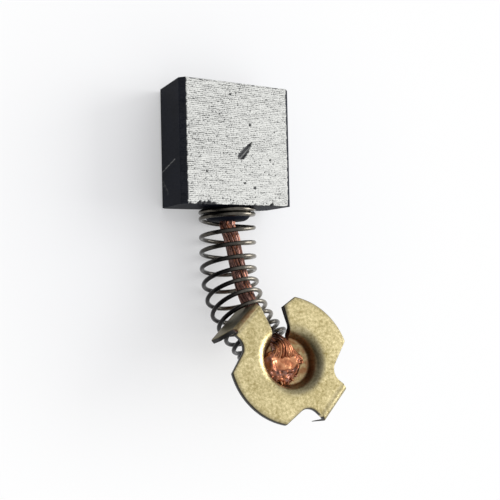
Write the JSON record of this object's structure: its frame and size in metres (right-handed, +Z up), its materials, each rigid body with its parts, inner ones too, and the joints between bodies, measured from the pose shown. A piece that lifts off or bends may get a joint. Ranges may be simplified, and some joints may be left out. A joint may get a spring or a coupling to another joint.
{
  "type": "carbon brush",
  "caption": "Rectangular carbon brush block with a bent coil spring, a stranded copper shunt and a round brass terminal plate, for an electric tool motor.",
  "frame": {"origin": "on the floor, under the middle of the face of the block that carries the spring", "axes": "+Y from the spring face to the working face of the block, +Z up from the floor that the block lies on, +X across the block"},
  "size_m": [0.0172, 0.037, 0.0132],
  "materials": {
    "carbon": "pressed carbon, ground dull grey on its wide faces",
    "spring_steel": "drawn spring wire",
    "copper": "stranded copper, welded end",
    "brass": "stamped brass sheet"
  },
  "bodies": {
    "root": {"carbon_block": "carbon", "spring": "spring_steel", "shunt": "copper", "terminal": "brass"}
  },
  "joints": []
}
